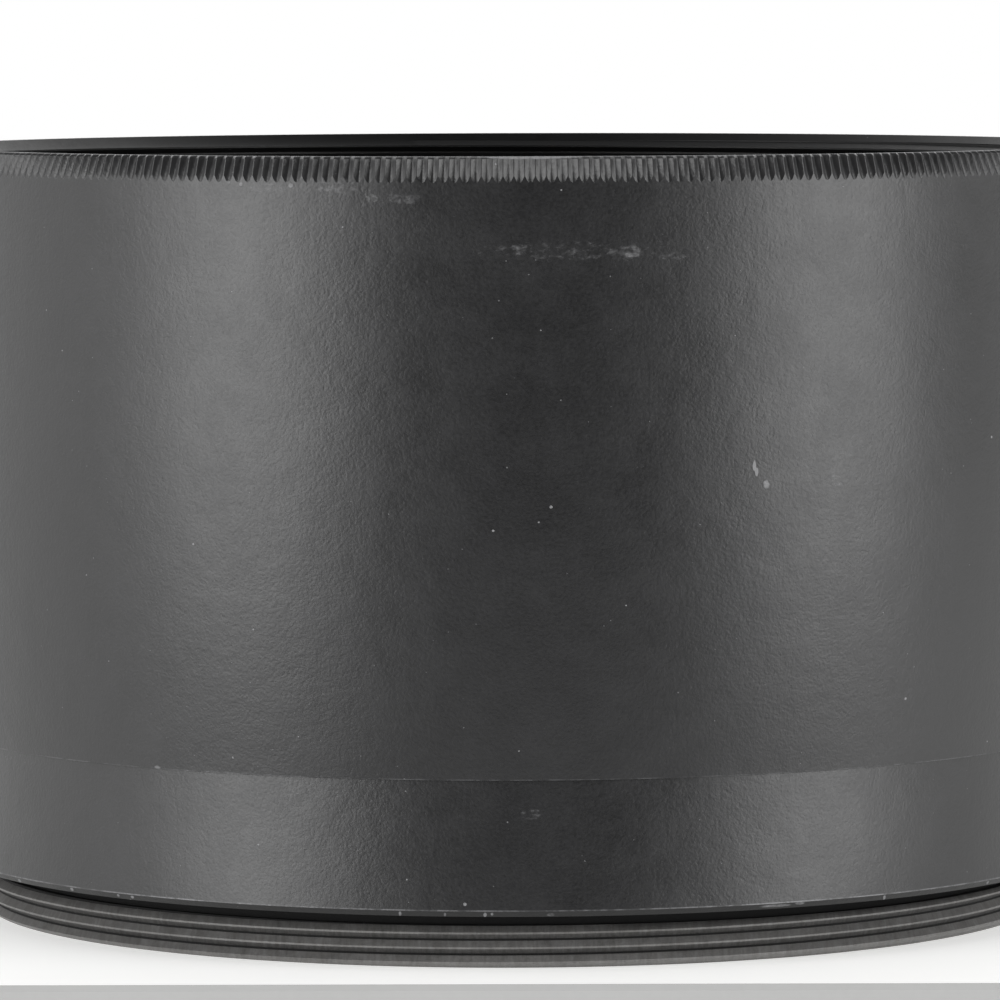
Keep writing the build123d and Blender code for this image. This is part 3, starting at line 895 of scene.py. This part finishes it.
def drill_screw_holes(bm):
    """Blind holes for the rear cell's screws, in the lower face of the barrel's bulkhead."""
    radius, deep = SCREW_HOLE
    floor = BULKHEAD[1]
    for turn in range(SCREWS):
        angle = 2 * math.pi * turn / SCREWS
        middle = Vector((math.cos(angle) * SCREW_CIRCLE, math.sin(angle) * SCREW_CIRCLE, floor)) * MM
        opening, reach = SCREW_OPENING * radius * MM, SCREW_REACH * radius * MM
        near = [face for face in bm.faces if (face.calc_center_median() - middle).length < opening]
        bmesh.ops.delete(bm, geom=near, context="FACES")
        gap = [e for e in bm.edges if e.is_boundary and (e.verts[0].co - middle).length < reach]
        circle = bmesh.ops.create_circle(
            bm, segments=SCREW_COLUMNS, radius=radius * MM, matrix=Matrix.Translation(middle)
        )
        ring = list({edge for vert in circle["verts"] for edge in vert.link_edges})
        bmesh.ops.triangle_fill(bm, edges=gap + ring, use_beauty=True, normal=(0, 0, 1))
        wall = bmesh.ops.extrude_edge_only(bm, edges=ring)["geom"]
        bmesh.ops.translate(bm, verts=points(wall), vec=(0, 0, deep * MM))
        bmesh.ops.contextual_create(bm, geom=points(wall) + lines(wall))


def make_barrel():
    """The wall, its fluted rim, the bores and the two threads."""
    sizes, finish, _ = scene_settings()
    wall, depth = sizes.wall_radius / MM, sizes.flute_depth / MM
    bm = flute_sector(wall, depth, sizes.flutes)
    batch = next(count for count in range(FLUTE_BATCH, 0, -1) if sizes.flutes % count == 0)
    repeat_round(bm, 2 * math.pi / sizes.flutes, batch)
    repeat_round(bm, 2 * math.pi / sizes.flutes * batch, sizes.flutes // batch)
    drill_screw_holes(bm)
    add_thread(bm, FILTER_R, FEMALE_DEPTH, 1, FILTER_START, FILTER_Z)
    add_thread(bm, SPIGOT_R, MALE_DEPTH, -1, SPIGOT_START, SPIGOT_Z)
    top = CAD_BOX[1].z / MM
    filter_low = FILTER_R - THREAD_CLEAR
    spigot_span = SPIGOT_CORE + CIRCLE_NEAR, SPIGOT_R + THREAD_CLEAR
    bridge(bm, (FILTER_Z[1], filter_low, MOUTH_R), circle_at(top, MOUTH_R))
    bridge(bm, (FILTER_Z[0], filter_low, RELIEF[0] - THREAD_CLEAR), circle_at(FILTER_Z[0], RELIEF[0]))
    bridge(bm, (SPIGOT_Z[1], *spigot_span), circle_at(SPIGOT_Z[1], SPIGOT_CORE))
    bridge(bm, (SPIGOT_Z[0], *spigot_span), circle_at(SPIGOT_Z[0], SEAL_GROOVE[0]))
    outer = anodised_material(
        "satin_anodised", finish.anodised, SATIN_ROUGH,
        edges=[
            {"height": top - RIM_WEAR_DROP, "half_width": 0.045, "gaps": 0.8, "strength": 0.3},
            {"height": BREAK_Z, "half_width": 0.06, "gaps": 0.95, "strength": 0.16},
        ],
        # rubbed marks and dust, with two painted highlights on the rim and along the break
        marks=WALL_MARKS_AND_HIGHLIGHTS,
    )
    looks = [outer, library("inner_anodised"), library("mouth_anodised")]
    outside, inside, mouth = range(3)

    def choose(face):
        radius, height = polar(face.calc_center_median())
        if height > RELIEF[1] - MOUTH_DEPTH and radius < MOUTH_R:
            return mouth
        return inside if radius < CELL_BORE[0] + FACE_NEAR and height > BREAK_Z else outside

    finish_piece(bm, "barrel", "barrel", looks, ["main_barrel"], choose, BARREL_SHARP)


class LENS_OT_barrel(bpy.types.Operator):
    """Model the fluted barrel with its threads"""

    bl_idname = "lens.barrel"
    bl_label = "Barrel"

    def execute(self, context):
        make_barrel()
        return {"FINISHED"}


# Mount ring


def make_mount_ring():
    """The lower band with its socket, seat, undercut and male mount thread."""
    finish = scene_settings()[1]
    bm = bmesh.new()
    low, high = UNDERCUT
    web_bore, web_low, web_high = WEB
    outline = [
        low, (low[0], high[1]), high, (high[0], SEAT_Z), (BAND_R - SEAT_CHAMFER, SEAT_Z),
        (BAND_R, SEAT_Z + SEAT_CHAMFER), (BAND_R, BREAK_Z - SEAM_EDGE), (BAND_R - SEAM_EDGE, BREAK_Z),
        (SOCKET[0] + BAND_EDGE, BREAK_Z), (SOCKET[0], BREAK_Z - BAND_EDGE), SOCKET, (MOUNT_BORE, SOCKET[1]),
        (MOUNT_BORE, web_high), (web_bore, web_high), (web_bore, web_low), (MOUNT_BORE, web_low),
        (MOUNT_BORE, 0.0),
    ]
    spin_ring(bm, draw_chain(bm, outline))
    add_thread(bm, MOUNT_R, MALE_DEPTH, -1, MOUNT_START, (0.0, low[1]), MOUNT_PHASE)
    # the thread's end is cut back to a cone
    for vert in bm.verts:
        radius, height = polar(vert.co)
        limit = MOUNT_R - MOUNT_LEAD + height
        if height < MOUNT_LEAD and radius > limit:
            vert.co.x *= limit / radius
            vert.co.y *= limit / radius
    thread_span = MOUNT_R - MALE_DEPTH - THREAD_CLEAR, MOUNT_R + THREAD_CLEAR
    bridge(bm, (0.0, *thread_span), circle_at(0.0, MOUNT_BORE))
    bridge(bm, (low[1], *thread_span), circle_at(low[1], low[0]))
    outer = anodised_material(
        "satin_anodised_ring", finish.anodised, SATIN_ROUGH,
        edges=[{"height": SEAT_Z + SEAT_CHAMFER, "half_width": 0.07, "gaps": 0.8, "strength": 0.4}],
        marks=RING_MARKS,
    )
    looks = [
        outer, library("dusty_thread"), library("undercut_shadow"), library("worn_thread"),
        library("chamfer_anodised"), library("shaded_thread"),
    ]
    satin, dusty, shadow, worn, chamfer, shaded = range(6)

    def choose(face):
        radius, height = polar(face.calc_center_median())
        if radius > high[0]:
            # the seat and its chamfer face down and take the darker look, a painted shade
            return chamfer if height < SEAT_Z + SEAT_CHAMFER else satin
        if radius < low[0] - THREAD_CLEAR or height < FACE_NEAR:
            return satin
        if height > low[1] - TOP_NEAR:
            return shadow if height < high[1] + FACE_NEAR else satin
        if radius > MOUNT_R - CREST_NEAR or height < MOUNT_LEAD:
            return worn
        if radius < MOUNT_R - MALE_DEPTH + ROOT_NEAR:
            return shadow
        return shaded if face.normal.z < FACING_DOWN else dusty

    finish_piece(bm, "mount_ring", "mount_ring", looks, ["rear_mount_ring"], choose)


class LENS_OT_mount_ring(bpy.types.Operator):
    """Model the mount ring with its male thread"""

    bl_idname = "lens.mount_ring"
    bl_label = "Mount ring"

    def execute(self, context):
        make_mount_ring()
        return {"FINISHED"}


# Rings and glasses


def slotted(outline, floor_z, way):
    """A ring with two spanner slots cut square across it, above (1) or below (-1) one height."""
    crossings = []
    for i, (r, z) in enumerate(outline):
        r0, z0 = outline[i - 1]
        if (z0 - floor_z) * (z - floor_z) < 0:
            share = (floor_z - z0) / (z - z0)
            crossings.append((i, (r0 + (r - r0) * share, floor_z)))
    (first, enter), (second, leave) = crossings
    one = [enter, *outline[first:second], leave]
    other = [leave, *outline[second:], *outline[:first], enter]
    kept_first = way * (outline[first][1] - floor_z) < 0
    low, raised = (one, other) if kept_first else (other, one)
    # between the slots the whole section turns, in them only what they leave, and a wall closes each end
    bm = bmesh.new()
    for side in (0, math.pi):
        for chain, start, angle, columns in (
            (low[:-1] + raised[:-1], side + SLOT_HALF, math.pi - 2 * SLOT_HALF, AROUND // 2 - SLOT_COLUMNS),
            (low, side - SLOT_HALF, 2 * SLOT_HALF, SLOT_COLUMNS),
        ):
            section = draw_chain(bm, chain, closed=True)
            turn = Matrix.Rotation(start, 3, "Z")
            bmesh.ops.rotate(bm, verts=points(section), cent=(0, 0, 0), matrix=turn)
            bmesh.ops.spin(bm, geom=section, **AXIS, angle=angle, steps=columns)
        for angle in (side + SLOT_HALF, side - SLOT_HALF):
            wall = draw_chain(bm, raised, closed=True)
            turn = Matrix.Rotation(angle, 3, "Z")
            bmesh.ops.contextual_create(bm, geom=wall)
            bmesh.ops.rotate(bm, verts=points(wall), cent=(0, 0, 0), matrix=turn)
    bmesh.ops.remove_doubles(bm, verts=bm.verts[:], dist=MERGE)
    return bm


def sag(curve, radius):
    """How far a spherical surface falls back at this distance from its axis."""
    return curve - math.sqrt(curve * curve - radius * radius)


def dome(vertex_z, curve, way, radius):
    """One lens surface's points from the axis out."""
    radii = [radius * i / GLASS_ROWS for i in range(GLASS_ROWS + 1)]
    return [(r, vertex_z + way * sag(curve, r)) for r in radii]


def glass(radius, upper, lower):
    """A lens element with small chamfers round its ground edge."""
    face = radius - GLASS_CHAMFER
    top, bottom = dome(*upper, face), dome(*lower, face)
    edge = [(radius, top[-1][1] - GLASS_CHAMFER), (radius, bottom[-1][1] + GLASS_CHAMFER)]
    bm = bmesh.new()
    spin_ring(bm, draw_chain(bm, top + edge + bottom[::-1]), AROUND // 2)
    return bm


def make_ring(name, node_name, outline, slot_floor, way, corner=CORNER_R):
    """An anodised ring with two spanner slots."""
    ring = slotted(eased(outline, corner), slot_floor, way)
    finish_piece(ring, name, "barrel", [library("ring_anodised")], [node_name])


def make_rings():
    """The trim ring, the nylon pressure ring and both retaining rings."""
    make_ring("trim_ring", "front_trim_ring", TRIM_RING, TRIM_SLOT, 1)
    make_ring("front_ring", "front_retaining_ring", FRONT_RING, FRONT_SLOT, 1)
    bore, foot = FRONT_RING[0]
    low = FRONT_GLASS_TOP - sag(FRONT_CURVES[0], bore)
    nylon = turned(eased([(bore, low), (FRONT_GLASS_R, low), (FRONT_GLASS_R, foot), (bore, foot)]))
    looks = [library("nylon")]
    finish_piece(nylon, "pressure_ring", "barrel", looks, ["front_pressure_ring"])
    make_ring("rear_ring", "rear_retaining_ring", REAR_RING, REAR_SLOT, -1, REAR_CORNER)


def make_glasses():
    """The two cemented doublets."""
    joint = FRONT_GLASS_TOP - CROWN_THICK
    rear_top = joint - FLINT_THICK - AIR_GAP
    rear_joint = rear_top - BICONCAVE_THICK
    front, rear = FRONT_CURVES, REAR_CURVES
    elements = {
        "front_crown": ((FRONT_GLASS_TOP, front[0], -1), (joint, front[1], 1)),
        "front_flint": ((joint - CEMENT, front[1], 1), (joint - FLINT_THICK, front[2], 1)),
        "rear_biconcave": ((rear_top, rear[0], 1), (rear_joint, rear[1], -1)),
        "rear_meniscus": ((rear_joint - CEMENT, rear[1], -1), (rear_joint - MENISCUS_THICK, rear[2], -1)),
    }
    for name, (upper, lower) in elements.items():
        group = name.split("_")[0]
        radius = {"front": FRONT_GLASS_R, "rear": REAR_GLASS_R}[group]
        looks = [library(f"{group}_glass"), library("edge_paint")]

        def is_edge(face, limit=radius - CIRCLE_NEAR):
            return int(polar(face.calc_center_median())[0] > limit)

        element = glass(radius, upper, lower)
        finish_piece(element, name, "barrel", looks, [f"{name}_element"], is_edge)


def make_baffle():
    """The ribbed tube between the groups and the two thin stops at its ends."""
    paint = [library("matt_paint")]
    low, high = BAFFLE_Z
    opening, length = BAFFLE_RISE
    inside = []
    for i in range(BAFFLE_RIBS):
        share = i / BAFFLE_RIBS
        r, z = BAFFLE_BORE[0] + opening * share, low + length * share
        inside += [(r, z), (r + BAFFLE_RIB_DEPTH, z + length / BAFFLE_RIBS / 2)]
    flange, thick = BAFFLE_FLANGE
    outside = [
        (flange, high), (flange, high - thick), (BAFFLE_WAIST[1], high - thick),
        (BAFFLE_WAIST[0], low + thick), (flange, low + thick), (flange, low),
    ]
    tube = turned(outside + inside + [(BAFFLE_BORE[1], high)])
    finish_piece(tube, "baffle", "barrel", paint, ["baffle_tube"])
    for name, (bore, base) in STOPS.items():
        top = base + STOP_THICK
        stop = turned(eased([(bore, base), (flange, base), (flange, top), (bore, top)], STOP_CORNER))
        finish_piece(stop, name, "barrel", paint, [name.replace("_", "_light_")])


def finish_carried():
    """Give every carried-over CAD node its own procedural finish."""
    looks = {
        "front_cell": "inner_anodised", "rear_cell": "ring_anodised", "rear_cell_shim": "rolled_brass",
        "rear_cell_screws": "blackened", "mount_seal_ring": "soft_rubber", "front_seat_washer": "nylon",
        "rear_seat_washer": "nylon", "rear_pressure_ring": "nylon",
    }
    for name, look in looks.items():
        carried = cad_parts[name]
        carried.data.materials.clear()
        carried.data.materials.append(library(look))


class LENS_OT_rings(bpy.types.Operator):
    """Model the trim ring and the rings that hold the glasses"""

    bl_idname = "lens.rings"
    bl_label = "Rings"

    def execute(self, context):
        make_rings()
        return {"FINISHED"}


class LENS_OT_glasses(bpy.types.Operator):
    """Model the four lens elements"""

    bl_idname = "lens.glasses"
    bl_label = "Glasses"

    def execute(self, context):
        make_glasses()
        return {"FINISHED"}


class LENS_OT_baffle(bpy.types.Operator):
    """Model the baffle tube and the two stops"""

    bl_idname = "lens.baffle"
    bl_label = "Baffle and stops"

    def execute(self, context):
        make_baffle()
        return {"FINISHED"}


class LENS_OT_carried(bpy.types.Operator):
    """Finish the small pieces that are carried over"""

    bl_idname = "lens.carried"
    bl_label = "Small pieces"

    def execute(self, context):
        finish_carried()
        return {"FINISHED"}


# Stage


def light(name, turn, power):
    """A soft box that faces the lens, some degrees round from the camera."""
    data = bpy.data.lights.new(name, "AREA")
    data.shape = "RECTANGLE"
    data.size, data.size_y = LIGHT_PANEL
    data.energy = power
    lamp = add_object(name, data)
    angle = math.radians(turn)
    lamp.location = (math.sin(angle) * LIGHT_DISTANCE, -math.cos(angle) * LIGHT_DISTANCE, LIGHT_HEIGHT)
    tilt = math.radians(90) - math.atan2(LIGHT_HEIGHT - LIGHT_AIM, LIGHT_DISTANCE)
    lamp.rotation_euler = (tilt, 0, angle)


def floor_material(name, colour, glow):
    """Pale floor that can't be seen from below."""
    made, tree, shader = new_material(name)
    tone = ramp(tree, effect(tree, "fine_grain", grain=0.6, mottle=6.0)["Tone"], 0.35, 0.65)
    fill(tree, shader, {
        "Base Color": blend_colour(tree, tone, [c * 0.975 for c in colour], colour), "Roughness": 0.55,
        "Specular IOR Level": 0.2, "Emission Color": (1, 1, 0.99, 1), "Emission Strength": glow,
    })
    clear = tree.nodes.new("ShaderNodeBsdfTransparent")
    behind = node(tree, "ShaderNodeNewGeometry").outputs["Backfacing"]
    either = node(tree, "ShaderNodeMixShader", {0: behind, 1: shader.outputs[0], 2: clear.outputs[0]})
    out = next(item for item in tree.nodes if item.bl_idname == "ShaderNodeOutputMaterial")
    tree.links.new(either.outputs[0], out.inputs["Surface"])
    return made


def make_floor(colour):
    """A pale sheet that ends a little in front of the lens, with its front edge turned down."""
    bm = bmesh.new()
    line = lines(draw_chain(bm, [(-FLOOR_SIDE, 0), (FLOOR_SIDE, 0)]))
    bmesh.ops.translate(bm, verts=bm.verts[:], vec=(0, FLOOR_BACK * MM, 0))
    for forward, down in ((FLOOR_FRONT + FLOOR_BACK, 0), (FLOOR_ROUND, FLOOR_ROUND), (0, FLOOR_LIP)):
        made = bmesh.ops.extrude_edge_only(bm, edges=line)["geom"]
        bmesh.ops.translate(bm, verts=points(made), vec=(0, -forward * MM, -down * MM))
        line = lines(made)
    for face in bm.faces:
        if face.normal.z < -FLOOR_TILT or face.normal.y > FLOOR_TILT:
            face.normal_flip()
    bm.normal_update()
    floor = add_object("floor", to_mesh(bm, "floor"))
    for face in floor.data.polygons:
        face.material_index = int(face.normal.y < -LIP_FORWARD)
    floor.data.materials.append(floor_material("pale_floor", colour, FLOOR_GLOW))
    floor.data.materials.append(floor_material("floor_edge", [c * FLOOR_EDGE_SHARE for c in colour], 0.0))


def make_world():
    """White for what the camera, gloss and glass see, and a plain level of light for the rest."""
    world = bpy.data.worlds.new("studio")
    bpy.context.scene.world = world
    world.use_nodes = True
    tree = world.node_tree
    tree.nodes.clear()
    rays = node(tree, "ShaderNodeLightPath").outputs
    outwards = node(tree, "ShaderNodeTexCoord").outputs["Generated"]
    way = node(tree, "ShaderNodeSeparateXYZ", {0: outwards}).outputs
    # a ramp's two numbers are parts of a ray's direction: Y is away from the camera, and Z is up
    side = calc(tree, "SUBTRACT", way["Y"], times(tree, way["X"], 0.3))
    overhead = ramp(tree, way["Z"], 0.9, 0.6)
    behind = times(tree, ramp(tree, side, -0.3, 0.45), ROOM_BEHIND)
    behind = times(tree, behind, plus(tree, times(tree, overhead, 0.85), 0.15))
    above = times(tree, ramp(tree, way["Z"], 0.3, 0.65), ramp(tree, way["Y"], -0.55, -0.1))
    above = times(tree, above, overhead)
    below = times(tree, ramp(tree, way["Z"], -0.1, -0.4), ROOM_BELOW)
    room = plus(tree, add_masks(tree, [behind, above, below]), ROOM_LEVEL)
    seen = calc(tree, "MAXIMUM", rays["Is Camera Ray"], rays["Is Transmission Ray"])
    gloss = times(tree, rays["Is Glossy Ray"], room)
    plain = times(tree, calc(tree, "SUBTRACT", 1.0, rays["Is Glossy Ray"]), PLAIN_LEVEL)
    other = times(tree, calc(tree, "SUBTRACT", 1.0, seen), plus(tree, gloss, plain))
    level = plus(tree, seen, other)
    back = node(tree, "ShaderNodeBackground", {"Color": (1, 1, 1, 1), "Strength": level})
    out = tree.nodes.new("ShaderNodeOutputWorld")
    tree.links.new(back.outputs[0], out.inputs["Surface"])


def make_camera():
    """The photograph's camera: a long lens a little above the rim."""
    data = bpy.data.cameras.new("camera")
    data.sensor_width = SENSOR
    data.lens = CAMERA_FOCAL * SENSOR
    data.clip_start = 0.01
    camera = add_object("camera", data)
    camera.location = (0, -CAMERA_DISTANCE * MM, CAMERA_HEIGHT * MM)
    camera.rotation_euler = (math.pi / 2 - CAMERA_TILT, CAMERA_ROLL, CAMERA_TURN)
    bpy.context.scene.camera = camera


def make_stage():
    """Floor, lights, world and camera."""
    stage = scene_settings()[2]
    make_floor(tuple(stage.floor))
    make_world()
    light("left_soft_box", LEFT_TURN, stage.side_lights)
    light("right_soft_box", RIGHT_TURN, stage.side_lights * RIGHT_SHARE)
    make_camera()
    bpy.context.scene.view_settings.view_transform = "Standard"


class LENS_OT_stage(bpy.types.Operator):
    """Set the floor, the lights and the photograph's camera"""

    bl_idname = "lens.stage"
    bl_label = "Stage"

    def execute(self, context):
        make_stage()
        return {"FINISHED"}


class LENS_PT_panel(bpy.types.Panel):
    """The lens's sizes, finishes and pieces"""

    bl_label = "Conversion lens"
    bl_idname = "LENS_PT_panel"
    bl_space_type = "VIEW_3D"
    bl_region_type = "UI"
    bl_category = "Lens"

    def draw(self, context):
        layout = self.layout
        for group in scene_settings():
            box = layout.box()
            for name in group.__annotations__:
                box.prop(group, name)
        for operator in OPERATORS:
            layout.operator(operator.bl_idname)


GROUPS = {"lens_barrel": LENS_PG_barrel, "lens_finish": LENS_PG_finish, "lens_stage": LENS_PG_stage}
OPERATORS = (
    LENS_OT_barrel, LENS_OT_mount_ring, LENS_OT_rings, LENS_OT_glasses, LENS_OT_baffle, LENS_OT_carried,
    LENS_OT_stage,
)


def register():
    for name, group in GROUPS.items():
        bpy.utils.register_class(group)
        setattr(bpy.types.Scene, name, bpy.props.PointerProperty(type=group))
    for kind in (*OPERATORS, LENS_PT_panel):
        bpy.utils.register_class(kind)


def unregister():
    for kind in (LENS_PT_panel, *reversed(OPERATORS)):
        bpy.utils.unregister_class(kind)
    for name, group in reversed(GROUPS.items()):
        delattr(bpy.types.Scene, name)
        bpy.utils.unregister_class(group)


def main():
    register()
    make_groups()
    bpy.ops.lens.barrel()
    bpy.ops.lens.mount_ring()
    bpy.ops.lens.rings()
    bpy.ops.lens.glasses()
    bpy.ops.lens.baffle()
    bpy.ops.lens.carried()
    bpy.ops.lens.stage()


if __name__ == "__main__":
    main()
